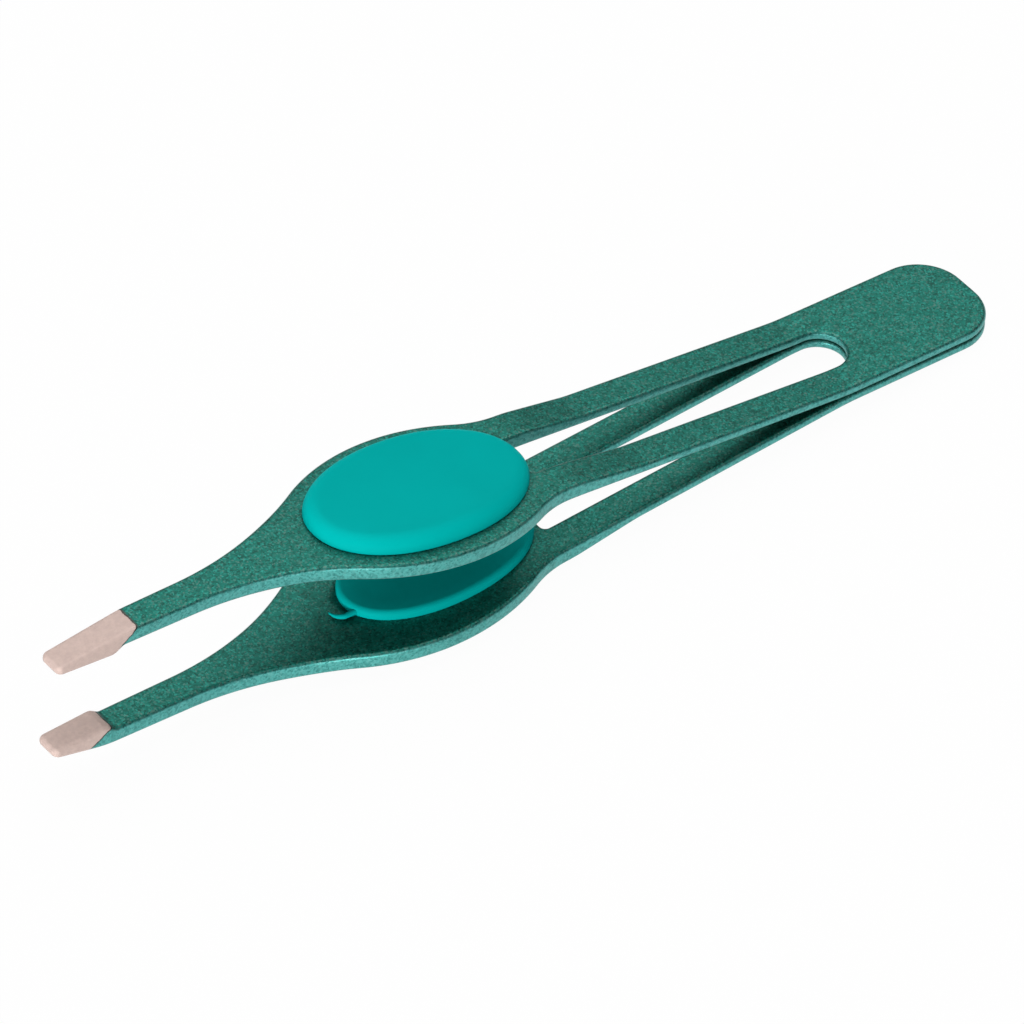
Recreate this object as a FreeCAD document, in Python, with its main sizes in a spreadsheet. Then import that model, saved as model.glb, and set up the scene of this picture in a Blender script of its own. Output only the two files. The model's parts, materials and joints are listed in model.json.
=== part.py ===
import FreeCAD, Part
import math
import os
import Sketcher

# Straight-tipped tweezers with soft oval grips, lying on the lower grip and the lower head.
# Two equal steel stampings are welded face to face at the head and spread towards the tips.
# Each has a long slot in its leg and an oval hole, where a moulded grip is held by its inner flange.
# An arm is drawn level: the head end at x = 0, the tips towards +x, the weld face at z = 0.

V = FreeCAD.Vector
slack = 0.001
doc = FreeCAD.newDocument("Tweezers")

# Driving dimensions in millimetres and degrees
sizes = [
    ("armLength", 96, "head end to tip"),
    ("headWidth", 10.5, "width of the blank at the head end"),
    ("headCorner", 4.2, "corner radius of the head end"),
    ("legWidth", 11, "width of the leg where the neck begins"),
    ("legEndX", 44, "place of the leg's width"),
    ("legThick", 0.9, "sheet thickness of head and leg, ground thin"),
    ("ovalThick", 1.5, "sheet thickness of oval, shank and jaw"),
    ("rampLength", 6.5, "length over which the leg grows to the full thickness"),
    ("rampRadius", 15, "rounding of the ends of that ramp"),
    ("bendX", 17, "where the arms part"),
    ("bendRadius", 25, "radius of that bend"),
    ("legAngle", 5.2, "rise of the leg"),
    ("ovalAngle", 3.9, "rise of the flat oval"),
    ("ovalRadius", 19.2, "radius of the oval's sides"),
    ("ovalWidth", 16.2, "width across the oval"),
    ("neckRadius", 6, "concave radius between leg and oval"),
    ("waistRadius", 30, "concave radius between oval and shank"),
    ("shoulderRadius", 60, "bend from the oval to the level shank"),
    ("shankX", 84, "place of the shank's width"),
    ("shankWidth", 3, "width of the shank"),
    ("tipWidth", 2.6, "width of the tip's edge"),
    ("tipCorner", 0.35, "corner radius of the tip in plan"),
    ("tipThick", 0.65, "thickness of the tip's edge"),
    ("bevelLength", 7.8, "length of the ground bevel on the outer face"),
    ("bevelRadius", 12, "blend from the shank to the bevel"),
    ("jawLength", 6.6, "length of the jaw, its step included"),
    ("jawRun", 0.9, "length of the step up to the jaw face"),
    ("jawRise", 0.6, "height of the jaw above the shank's inner face"),
    ("jawRadius", 0.8, "rounding of that step"),
    ("slotStartX", 13.7, "round end of the slot"),
    ("slotWidth", 4.6, "width of the slot"),
    ("slotCorner", 0.8, "corner radius of the slot's blunt end"),
    ("slotGap", 0.4, "from the slot's blunt end to the grip's cap"),
    ("rimBevel", 0.2, "bevel of the stamping's edges"),
    ("gripX", 58.4, "centre of oval, hole and grip"),
    ("holeLength", 14.4, "length of the oval hole"),
    ("holeWidth", 7.6, "width of the oval hole"),
    ("neckGap", 0.05, "clearance between grip and hole, all round"),
    ("endShare", 0.7, "radius of an oval's ends, in half widths"),
    ("capLength", 21.6, "length of the grip's outer cap"),
    ("capWidth", 13, "width of the grip's outer cap"),
    ("capHeight", 1.25, "height of the grip's outer cap"),
    ("capRound", 1.1, "radius that the bevels of the cap's rim follow"),
    ("crownRadius", 200, "radius of the cap's slight crown along its length"),
    ("flangeLength", 17.2, "length of the grip's inner flange"),
    ("flangeWidth", 10.4, "width of the grip's inner flange"),
    ("flangeHeight", 0.9, "height of the grip's inner flange"),
    ("flangeBevel", 0.5, "bevel of the flange's rim"),
    ("seatMargin", 0.9, "flat of the oval past each end of the cap"),
    ("tailLength", 1.7, "how far the moulding tail stands out from the flange"),
    ("tailWidth", 0.55, "width of the moulding tail"),
    ("tailThick", 0.45, "thickness of the moulding tail"),
    ("tailTurn", 12, "direction of the moulding tail"),
    ("trimSpare", 2, "spare of the strip outside the blank, trimmed off"),
]

# Places worked out from them: corners of the side profile and of the outline
places = [
    ("startX", "-dims.trimSpare"),
    ("endX", "dims.armLength + dims.trimSpare"),
    ("seatHalf", "dims.capLength / 2 + dims.seatMargin"),
    ("rampSlope", "(dims.ovalThick - dims.legThick) / dims.rampLength"),
    ("rampTurn", "atan(rampSlope) / 1 deg + dims.legAngle - dims.ovalAngle"),
    ("ovalStartX", "dims.gripX - seatHalf - dims.rampRadius * tan(rampTurn / 2)"),
    ("ovalStartZ", "(ovalStartX - dims.bendX) * tan(dims.legAngle)"),
    ("waistX", "dims.gripX + seatHalf + dims.shoulderRadius * tan(dims.ovalAngle / 2)"),
    ("waistZ", "ovalStartZ + (waistX - ovalStartX) * tan(dims.ovalAngle)"),
    ("jawStartX", "dims.armLength - dims.jawLength"),
    ("jawFootX", "jawStartX + dims.jawRun"),
    ("jawFootZ", "waistZ - dims.jawRise"),
    ("closeAngle", "atan(jawFootZ / (jawFootX - dims.bendX))"),
    ("jawTipZ", "jawFootZ + (dims.armLength - jawFootX) * tan(closeAngle)"),
    ("jawEndZ", "jawTipZ + dims.trimSpare * tan(closeAngle)"),
    ("outerWaistX", "waistX - dims.ovalThick * tan(dims.ovalAngle / 2)"),
    ("outerWaistZ", "waistZ + dims.ovalThick"),
    ("bevelStartX", "dims.armLength - dims.bevelLength"),
    ("bevelSlope", "(outerWaistZ - jawTipZ - dims.tipThick) / dims.bevelLength"),
    ("bevelEndZ", "jawTipZ + dims.tipThick - dims.trimSpare * bevelSlope"),
    ("rampEndZ", "ovalStartZ + dims.ovalThick / cos(dims.ovalAngle)"),
    ("rampStartX", "ovalStartX - dims.rampLength"),
    ("rampStartZ", "(rampStartX - dims.bendX) * tan(dims.legAngle) + dims.legThick / cos(dims.legAngle)"),
    ("outerBendX", "dims.bendX - dims.legThick * tan(dims.legAngle / 2)"),
    ("stripWidth", "dims.ovalWidth + 2 * dims.trimSpare"),
    ("frameStartX", "2 * startX"),
    ("frameEndX", "endX + dims.trimSpare"),
    ("frameTop", "stripWidth / 2 + dims.trimSpare"),
    ("frameBottom", "-frameTop"),
    ("slotEndX", "dims.gripX - dims.capLength / 2 - dims.slotGap"),
    ("gripZ", "ovalStartZ + (dims.gripX - ovalStartX) * tan(dims.ovalAngle)"),
    ("padReach", "dims.ovalThick + dims.capHeight"),
    ("crownDepth", "dims.crownRadius - padReach"),
    ("crownHalf", "dims.capLength / 2 + dims.trimSpare"),
    ("crownTop", "padReach + dims.trimSpare"),
    ("crownRun", "dims.gripX + crownDepth * sin(dims.ovalAngle) - dims.rimBevel"),
    ("crownFall", "dims.legThick - gripZ + crownDepth * cos(dims.ovalAngle)"),
    ("crownFar", "sqrt(crownRun ^ 2 + crownFall ^ 2)"),
    ("restAngle", "asin(dims.crownRadius / crownFar) - atan(crownFall / crownRun)"),
    ("rimSkin", "dims.capRound * (1 - tan(15))"),
    ("rimWall", "rimSkin * tan(30)"),
    ("rimLow", "rimSkin - rimWall"),
    ("neckLength", "dims.holeLength - 2 * dims.neckGap"),
    ("neckWidth", "dims.holeWidth - 2 * dims.neckGap"),
]

# Each oval is drawn with four arcs, the radius of its sides following from that of its ends
for oval, length, width in [
        ("hole", "dims.holeLength", "dims.holeWidth"),
        ("neck", "neckLength", "neckWidth"),
        ("cap", "dims.capLength", "dims.capWidth"),
        ("flange", "dims.flangeLength", "dims.flangeWidth")]:
    end = f"{oval}End"
    places += [
        (end, f"dims.endShare * {width} / 2"),
        (f"{oval}Focus", f"{length} / 2 - {end}"),
        (f"{oval}Side", f"({oval}Focus ^ 2 + ({width} / 2) ^ 2 - {end} ^ 2) / ({width} - 2 * {end})"),
    ]


def fill_sheet(name, rows):
    sheet = doc.addObject("Spreadsheet::Sheet", name)
    for number, row in enumerate(rows, 1):
        sheet.set(f"A{number}", row[0])
        sheet.set(f"B{number}", row[1])
        sheet.setAlias(f"B{number}", row[0])
        sheet.set(f"C{number}", row[2])
    return sheet


fill_sheet("dims", [(alias, str(size), note) for alias, size, note in sizes])
fill_sheet("layout", [(alias, "=" + formula, "worked out") for alias, formula in places])
doc.recompute()


# The number that a cell such as dims.armLength holds now
def cell(name):
    sheet, alias = name.split(".")
    value = getattr(doc.getObject(sheet), alias)
    return float(getattr(value, "Value", value))


def new_sketch(body, name, plane):
    sketch = body.newObject("Sketcher::SketchObject", name)
    planes = [item for item in body.Origin.OriginFeatures if item.Role == plane]
    sketch.AttachmentSupport = (planes[0], [""])
    sketch.MapMode = "FlatFace"
    return sketch


def bind(sketch, constraint, expression):
    sketch.setExpression(f"Constraints[{constraint}]", expression)


# A point kept at the two cells or expressions, measured from the sketch's origin
def fix_point(sketch, geometry, end, x_value, x_cell, y_value, y_cell):
    if x_cell:
        bind(sketch, sketch.addConstraint(
            Sketcher.Constraint("DistanceX", -1, 1, geometry, end, x_value)), x_cell)
    else:
        sketch.addConstraint(Sketcher.Constraint("PointOnObject", geometry, end, -2))
    if y_cell:
        bind(sketch, sketch.addConstraint(
            Sketcher.Constraint("DistanceY", -1, 1, geometry, end, y_value)), y_cell)
    else:
        sketch.addConstraint(Sketcher.Constraint("PointOnObject", geometry, end, -1))


def fix_radius(sketch, arc, value, expression):
    bind(sketch, sketch.addConstraint(Sketcher.Constraint("Radius", arc, value)), expression)


def arc_between(centre, radius, start, end):
    angles = [math.atan2(point.y - centre.y, point.x - centre.x) for point in (start, end)]
    return Part.ArcOfCircle(Part.Circle(centre, V(0, 0, 1), radius), angles[0], angles[1])


# A closed chain of lines through corners, each (cell of x, cell of y, cell of radius).
# None stands for a corner on the axis or for a sharp one.
def draw_chain(sketch, corners):
    points = [V(cell(x) if x else 0, cell(y) if y else 0, 0) for x, y, radius in corners]
    count = len(corners)
    arcs = []
    starts = []
    ends = []
    for i, (x, y, radius) in enumerate(corners):
        corner = points[i]
        back = (points[i - 1] - corner).normalize()
        ahead = (points[(i + 1) % count] - corner).normalize()
        if radius is None:
            ends.append(corner)
            starts.append(corner)
            arcs.append(None)
            continue
        size = cell(radius)
        half = back.getAngle(ahead) / 2
        middle = (back + ahead).normalize()
        centre = corner + middle * (size / math.sin(half))
        ends.append(corner + back * (size / math.tan(half)))
        starts.append(corner + ahead * (size / math.tan(half)))
        left = back.cross(ahead).z < 0
        arcs.append((centre, size, left))
    lines = [sketch.addGeometry(Part.LineSegment(starts[i], ends[(i + 1) % count]), False)
             for i in range(count)]
    for i, (x, y, radius) in enumerate(corners):
        into, out = lines[i - 1], lines[i]
        if arcs[i] is None:
            sketch.addConstraint(Sketcher.Constraint("Coincident", into, 2, out, 1))
            fix_point(sketch, out, 1, points[i].x, x, points[i].y, y)
            continue
        centre, size, left = arcs[i]
        first, last = (ends[i], starts[i]) if left else (starts[i], ends[i])
        arc = sketch.addGeometry(arc_between(centre, size, first, last), False)
        sketch.addConstraint(Sketcher.Constraint("Tangent", into, 2, arc, 1 if left else 2))
        sketch.addConstraint(Sketcher.Constraint("Tangent", arc, 2 if left else 1, out, 1))
        fix_radius(sketch, arc, size, radius)
        mark = sketch.addGeometry(Part.Point(points[i]), True)
        sketch.addConstraint(Sketcher.Constraint("PointOnObject", mark, 1, into))
        sketch.addConstraint(Sketcher.Constraint("PointOnObject", mark, 1, out))
        fix_point(sketch, mark, 1, points[i].x, x, points[i].y, y)


# Half of the blank's outline, on the side +1 or -1 of its axis
def draw_half_outline(sketch, side):
    length, grip = cell("dims.armLength"), cell("dims.gripX")
    head, leg = cell("dims.headWidth") / 2, cell("dims.legWidth") / 2
    shank, tip = cell("dims.shankWidth") / 2, cell("dims.tipWidth") / 2
    corner, neck = cell("dims.headCorner"), cell("dims.neckRadius")
    oval, waist = cell("dims.ovalRadius"), cell("dims.waistRadius")
    tip_corner = cell("dims.tipCorner")
    oval_centre = cell("dims.ovalWidth") / 2 - oval
    neck_reach = math.sqrt((oval + neck) ** 2 - (leg + neck - oval_centre) ** 2)
    waist_reach = math.sqrt((oval + waist) ** 2 - (shank + waist - oval_centre) ** 2)

    def at(x, y):
        return V(x, side * y, 0)

    centres = {
        "corner": at(corner, head - corner),
        "neck": at(grip - neck_reach, leg + neck),
        "oval": at(grip, oval_centre),
        "waist": at(grip + waist_reach, shank + waist),
        "tip": at(length - tip_corner, tip - tip_corner),
    }
    necks = centres["oval"] + (centres["neck"] - centres["oval"]) * (oval / (oval + neck))
    waists = centres["oval"] + (centres["waist"] - centres["oval"]) * (oval / (oval + waist))
    steps = [
        (None, at(0, 0), at(0, head - corner), False),
        ("corner", at(0, head - corner), at(corner, head), False),
        (None, at(corner, head), at(grip - neck_reach, leg), False),
        ("neck", at(grip - neck_reach, leg), necks, True),
        ("oval", necks, waists, False),
        ("waist", waists, at(grip + waist_reach, shank), True),
        (None, at(grip + waist_reach, shank), at(length - tip_corner, tip), False),
        ("tip", at(length - tip_corner, tip), at(length, tip - tip_corner), False),
        (None, at(length, tip - tip_corner), at(length, 0), False),
    ]
    made = []
    for name, start, end, hollow in steps:
        if name is None:
            made.append((sketch.addGeometry(Part.LineSegment(start, end), False), 1, 2))
            continue
        # A hollow arc on the side +1 turns left, the others turn right
        left = hollow if side > 0 else not hollow
        first, last = (start, end) if left else (end, start)
        radius = (start - centres[name]).Length
        shape = arc_between(centres[name], radius, first, last)
        made.append((sketch.addGeometry(shape, False), 1 if left else 2, 2 if left else 1))
    for before, after in zip(made, made[1:]):
        sketch.addConstraint(Sketcher.Constraint("Tangent", before[0], before[2], after[0], after[1]))
    (head_end, corner_arc, leg_line, neck_arc, oval_arc, waist_arc, shank_line, tip_arc,
     tip_end) = [item[0] for item in made]
    sketch.addConstraint(Sketcher.Constraint("Coincident", head_end, 1, -1, 1))
    sketch.addConstraint(Sketcher.Constraint("Vertical", head_end))
    sketch.addConstraint(Sketcher.Constraint("Vertical", tip_end))
    fix_point(sketch, tip_end, 2, length, "dims.armLength", 0, None)
    fix_radius(sketch, corner_arc, corner, "dims.headCorner")
    fix_radius(sketch, neck_arc, neck, "dims.neckRadius")
    fix_radius(sketch, oval_arc, oval, "dims.ovalRadius")
    fix_radius(sketch, waist_arc, waist, "dims.waistRadius")
    fix_radius(sketch, tip_arc, tip_corner, "dims.tipCorner")
    fix_point(sketch, oval_arc, 3, grip, "dims.gripX",
              side * oval_centre, f"{side} * (dims.ovalWidth / 2 - dims.ovalRadius)")
    for line, x, x_cell, y, y_cell in [
            (leg_line, 0, None, head, "dims.headWidth"),
            (leg_line, cell("dims.legEndX"), "dims.legEndX", leg, "dims.legWidth"),
            (shank_line, cell("dims.shankX"), "dims.shankX", shank, "dims.shankWidth"),
            (shank_line, length, "dims.armLength", tip, "dims.tipWidth")]:
        mark = sketch.addGeometry(Part.Point(at(x, y)), True)
        sketch.addConstraint(Sketcher.Constraint("PointOnObject", mark, 1, line))
        fix_point(sketch, mark, 1, x, x_cell, side * y, f"{side} * {y_cell} / 2")


# The slot: a half round towards the head, a blunt end with small corners at the grip
def draw_slot(sketch):
    half, small = cell("dims.slotWidth") / 2, cell("dims.slotCorner")
    start, end = cell("dims.slotStartX"), cell("layout.slotEndX")
    middle = start + half
    shapes = [
        arc_between(V(middle, 0, 0), half, V(middle, half, 0), V(middle, -half, 0)),
        Part.LineSegment(V(middle, -half, 0), V(end - small, -half, 0)),
        arc_between(V(end - small, small - half, 0), small,
                    V(end - small, -half, 0), V(end, small - half, 0)),
        Part.LineSegment(V(end, small - half, 0), V(end, half - small, 0)),
        arc_between(V(end - small, half - small, 0), small,
                    V(end, half - small, 0), V(end - small, half, 0)),
        Part.LineSegment(V(end - small, half, 0), V(middle, half, 0)),
    ]
    pieces = [sketch.addGeometry(shape, False) for shape in shapes]
    for before, after in zip(pieces, pieces[1:] + pieces[:1]):
        sketch.addConstraint(Sketcher.Constraint("Tangent", before, 2, after, 1))
    sketch.addConstraint(Sketcher.Constraint("Horizontal", pieces[1]))
    sketch.addConstraint(Sketcher.Constraint("Vertical", pieces[3]))
    sketch.addConstraint(Sketcher.Constraint("Horizontal", pieces[5]))
    fix_point(sketch, pieces[0], 3, middle, "dims.slotStartX + dims.slotWidth / 2", 0, None)
    fix_radius(sketch, pieces[0], half, "dims.slotWidth / 2")
    fix_radius(sketch, pieces[2], small, "dims.slotCorner")
    fix_radius(sketch, pieces[4], small, "dims.slotCorner")
    bind(sketch, sketch.addConstraint(
        Sketcher.Constraint("DistanceX", -1, 1, pieces[3], 1, end)), "layout.slotEndX")


# An oval around the sketch's origin, long along x, from its cells in the layout
def draw_oval(sketch, name):
    focus, end, side = [cell(f"layout.{name}{part}") for part in ("Focus", "End", "Side")]
    centres = [V(focus, 0, 0), V(0, -math.sqrt((side - end) ** 2 - focus ** 2), 0)]
    join = centres[1] + (centres[0] - centres[1]) * (side / (side - end))
    joins = [V(join.x, -join.y, 0), V(join.x, join.y, 0), V(-join.x, join.y, 0), V(-join.x, -join.y, 0)]
    arcs = []
    for i, (centre, radius) in enumerate([
            (centres[0], end), (centres[1], side), (-centres[0], end), (-centres[1], side)]):
        shape = arc_between(centre, radius, joins[i], joins[(i + 1) % 4])
        arcs.append(sketch.addGeometry(shape, False))
    for before, after in zip(arcs, arcs[1:] + arcs[:1]):
        sketch.addConstraint(Sketcher.Constraint("Tangent", before, 2, after, 1))
    fix_point(sketch, arcs[0], 3, focus, f"layout.{name}Focus", 0, None)
    fix_point(sketch, arcs[2], 3, -focus, f"-layout.{name}Focus", 0, None)
    for arc, radius, part in zip(arcs, (end, side, end, side), ("End", "Side", "End", "Side")):
        fix_radius(sketch, arc, radius, f"layout.{name}{part}")


# True for a face that stands upright, as the cut edges of a stamping do
def is_wall(face):
    u_low, u_high, v_low, v_high = face.ParameterRange
    normal = face.normalAt((u_low + u_high) / 2, (v_low + v_high) / 2)
    return abs(normal.z) < slack and abs(face.normalAt(u_low, v_low).z) < slack


# Names of the edges between an upright wall and a skin, from one height to another
def rim_edges(shape, low=-math.inf, high=math.inf):
    names = []
    for number, edge in enumerate(shape.Edges, 1):
        walls = [is_wall(face) for face in shape.ancestorsOfType(edge, Part.Face)]
        if sorted(walls) == [False, True] and low < edge.CenterOfMass.z < high:
            names.append(f"Edge{number}")
    return names


def add_pad(body, sketch, name, length, both_sides=False, downwards=False):
    pad = body.newObject("PartDesign::Pad", name)
    pad.Profile = sketch
    pad.setExpression("Length", length)
    if both_sides:
        pad.SideType = "Symmetric"
    pad.Reversed = downwards
    doc.recompute()
    return pad


# A cut through everything, which has to take something away
def add_cut(body, sketch, name):
    before = body.Shape.Volume
    cut = body.newObject("PartDesign::Pocket", name)
    cut.Profile = sketch
    cut.Type = "ThroughAll"
    cut.SideType = "Symmetric"
    doc.recompute()
    if body.Shape.Volume > before - slack:
        raise RuntimeError(f"{name} cuts nothing")
    return cut


# A bevel of one size, or of one size on the wall and another on the skin
def add_bevel(body, feature, name, edges, size, skin_size=None):
    bevel = body.newObject("PartDesign::Chamfer", name)
    bevel.Base = (feature, edges)
    bevel.setExpression("Size", size)
    if skin_size:
        bevel.ChamferType = "Two distances"
        bevel.setExpression("Size2", skin_size)
    doc.recompute()
    return bevel


# One stamping: a bent strip of varying thickness, trimmed to the outline, slotted and pierced
def build_arm(name):
    body = doc.addObject("PartDesign::Body", name)
    body.Label = name
    profile = new_sketch(body, name + "_profile", "XZ_Plane")
    draw_chain(profile, [
        ("layout.startX", None, None),
        ("dims.bendX", None, "dims.bendRadius"),
        ("layout.ovalStartX", "layout.ovalStartZ", "dims.shoulderRadius"),
        ("layout.waistX", "layout.waistZ", "dims.shoulderRadius"),
        ("layout.jawStartX", "layout.waistZ", "dims.jawRadius"),
        ("layout.jawFootX", "layout.jawFootZ", "dims.jawRadius"),
        ("layout.endX", "layout.jawEndZ", None),
        ("layout.endX", "layout.bevelEndZ", None),
        ("layout.bevelStartX", "layout.outerWaistZ", "dims.bevelRadius"),
        ("layout.outerWaistX", "layout.outerWaistZ", "dims.shoulderRadius"),
        ("layout.ovalStartX", "layout.rampEndZ", "dims.rampRadius"),
        ("layout.rampStartX", "layout.rampStartZ", "dims.rampRadius"),
        ("layout.outerBendX", "dims.legThick", "dims.bendRadius"),
        ("layout.startX", "dims.legThick", None),
    ])
    add_pad(body, profile, name + "_strip", "layout.stripWidth", both_sides=True)

    outline = new_sketch(body, name + "_outline", "XY_Plane")
    draw_half_outline(outline, 1)
    draw_half_outline(outline, -1)
    draw_chain(outline, [
        ("layout.frameStartX", "layout.frameBottom", None),
        ("layout.frameEndX", "layout.frameBottom", None),
        ("layout.frameEndX", "layout.frameTop", None),
        ("layout.frameStartX", "layout.frameTop", None),
    ])
    add_cut(body, outline, name + "_trim")

    slot = new_sketch(body, name + "_slot", "XY_Plane")
    draw_slot(slot)
    slotted = add_cut(body, slot, name + "_slotted")
    add_bevel(body, slotted, name + "_rims", rim_edges(slotted.Shape), "dims.rimBevel")

    hole = new_sketch(body, name + "_hole", "XY_Plane")
    hole.AttachmentOffset = FreeCAD.Placement(V(0, 0, 0), FreeCAD.Rotation(V(0, 1, 0), -1))
    hole.setExpression("AttachmentOffset.Rotation.Angle", "-dims.ovalAngle")
    hole.setExpression("AttachmentOffset.Base.x", "dims.gripX")
    hole.setExpression("AttachmentOffset.Base.z", "layout.gripZ")
    draw_oval(hole, "hole")
    add_cut(body, hole, name + "_pierced")
    return body


# What is cut off above the cap's crown, an arc with its middle at the cap's full height
def draw_crown(sketch):
    radius, depth = cell("dims.crownRadius"), cell("layout.crownDepth")
    half, top = cell("layout.crownHalf"), cell("layout.crownTop")
    side = math.sqrt(radius ** 2 - half ** 2) - depth
    shapes = [
        arc_between(V(0, -depth, 0), radius, V(half, side, 0), V(-half, side, 0)),
        Part.LineSegment(V(-half, side, 0), V(-half, top, 0)),
        Part.LineSegment(V(-half, top, 0), V(half, top, 0)),
        Part.LineSegment(V(half, top, 0), V(half, side, 0)),
    ]
    arc, left, over, right = [sketch.addGeometry(shape, False) for shape in shapes]
    for before, after in ((arc, left), (left, over), (over, right), (right, arc)):
        sketch.addConstraint(Sketcher.Constraint("Coincident", before, 2, after, 1))
    fix_point(sketch, arc, 3, 0, None, -depth, "-layout.crownDepth")
    fix_radius(sketch, arc, radius, "dims.crownRadius")
    fix_point(sketch, over, 1, -half, "-layout.crownHalf", top, "layout.crownTop")
    fix_point(sketch, over, 2, half, "layout.crownHalf", top, "layout.crownTop")
    sketch.addConstraint(Sketcher.Constraint("Vertical", left))
    sketch.addConstraint(Sketcher.Constraint("Vertical", right))


# One soft grip around the middle of its hole, the arm's inner face at z = 0
def build_grip(name, with_tail):
    body = doc.addObject("PartDesign::Body", name)
    body.Label = name
    neck = new_sketch(body, name + "_neck_oval", "XY_Plane")
    draw_oval(neck, "neck")
    add_pad(body, neck, name + "_neck", "dims.ovalThick")

    cap = new_sketch(body, name + "_cap_oval", "XY_Plane")
    cap.setExpression("AttachmentOffset.Base.z", "dims.ovalThick")
    draw_oval(cap, "cap")
    add_pad(body, cap, name + "_cap", "dims.capHeight")

    flange = new_sketch(body, name + "_flange_oval", "XY_Plane")
    draw_oval(flange, "flange")
    solid = add_pad(body, flange, name + "_flange", "dims.flangeHeight", downwards=True)

    bottom = rim_edges(solid.Shape, high=-cell("dims.flangeHeight") / 2)
    add_bevel(body, solid, name + "_flange_bevel", bottom, "dims.flangeBevel")

    crown = new_sketch(body, name + "_crown_arc", "XZ_Plane")
    draw_crown(crown)
    solid = add_cut(body, crown, name + "_crowned")
    above = cell("dims.ovalThick") + slack
    top = rim_edges(solid.Shape, low=above)
    solid = add_bevel(body, solid, name + "_rim_upper", top, "layout.rimWall", "layout.rimSkin")
    top = rim_edges(solid.Shape, low=above)
    add_bevel(body, solid, name + "_rim_lower", top, "layout.rimLow")
    if with_tail:
        draw_tail(body, name)
    return body


# The tail left by the mould's runner: a thin tongue that leaves the flange's end
def draw_tail(body, name):
    tail = new_sketch(body, name + "_tail_tongue", "XY_Plane")
    tail.AttachmentOffset = FreeCAD.Placement(V(0, 0, 0), FreeCAD.Rotation(V(0, 0, 1), 1))
    tail.setExpression("AttachmentOffset.Rotation.Angle", "dims.tailTurn")
    tail.setExpression("AttachmentOffset.Base.z", "-dims.tailThick / 2")
    half = cell("dims.tailWidth") / 2
    reach = cell("dims.flangeLength") / 2 + cell("dims.tailLength") - half
    shapes = [
        arc_between(V(0, 0, 0), half, V(0, half, 0), V(0, -half, 0)),
        Part.LineSegment(V(0, -half, 0), V(reach, -half, 0)),
        arc_between(V(reach, 0, 0), half, V(reach, -half, 0), V(reach, half, 0)),
        Part.LineSegment(V(reach, half, 0), V(0, half, 0)),
    ]
    pieces = [tail.addGeometry(shape, False) for shape in shapes]
    for before, after in zip(pieces, pieces[1:] + pieces[:1]):
        tail.addConstraint(Sketcher.Constraint("Tangent", before, 2, after, 1))
    tail.addConstraint(Sketcher.Constraint("Coincident", pieces[0], 3, -1, 1))
    fix_point(tail, pieces[2], 3, reach,
              "dims.flangeLength / 2 + dims.tailLength - dims.tailWidth / 2", 0, None)
    fix_radius(tail, pieces[0], half, "dims.tailWidth / 2")
    add_pad(body, tail, name + "_tail", "dims.tailThick", downwards=True)


arms = {"upper_arm": build_arm("upper_arm"), "lower_arm": build_arm("lower_arm")}
grips = {"upper_grip": build_grip("upper_grip", False), "lower_grip": build_grip("lower_grip", True)}

# The grip in its arm, the arm upright or turned over, and both tilted until head and crown rest level
in_hole = FreeCAD.Placement(V(cell("dims.gripX"), 0, cell("layout.gripZ")),
                            FreeCAD.Rotation(V(0, 1, 0), -cell("dims.ovalAngle")))
sides = {
    "upper": FreeCAD.Placement(),
    "lower": FreeCAD.Placement(V(0, 0, 0), FreeCAD.Rotation(V(1, 0, 0), 180)),
}
tips_left = FreeCAD.Placement(V(0, 0, 0), FreeCAD.Rotation(V(0, 0, 1), 180))
level = FreeCAD.Placement(V(0, 0, 0), FreeCAD.Rotation(V(0, 1, 0), -cell("layout.restAngle")))
for side, placement in sides.items():
    arms[side + "_arm"].Placement = tips_left * level * placement
    grips[side + "_grip"].Placement = tips_left * level * placement * in_hole
doc.recompute()

# The origin is the middle of the underside of the whole
nodes = {**arms, **grips}
box = FreeCAD.BoundBox()
for body in nodes.values():
    box.add(body.Shape.optimalBoundingBox(False))
seat = FreeCAD.Placement(V(-box.Center.x, -box.Center.y, -box.ZMin), FreeCAD.Rotation())
for body in nodes.values():
    body.Placement = seat * body.Placement
doc.recompute()

for item in doc.Objects:
    if "Invalid" in item.State or "Error" in item.State:
        raise RuntimeError(f"{item.Name} failed: {item.State}")
for name, body in nodes.items():
    if body.Shape.isNull() or not body.Shape.isValid() or len(body.Shape.Solids) != 1:
        raise RuntimeError(f"{name} isn't one valid solid")

os.makedirs("parts", exist_ok=True)
for name, body in nodes.items():
    body.Shape.exportStep(f"parts/{name}.step")
    size = body.Shape.BoundBox
    print(f"{name}: volume {body.Shape.Volume:.1f} mm3,"
          f" x {size.XMin:.2f} to {size.XMax:.2f},"
          f" y {size.YMin:.2f} to {size.YMax:.2f}, z {size.ZMin:.2f} to {size.ZMax:.2f}")
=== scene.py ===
import json
import math
import bmesh
import bpy
from mathutils import Matrix, Vector
from mathutils.geometry import delaunay_2d_cdt
from mathutils.kdtree import KDTree


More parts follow.
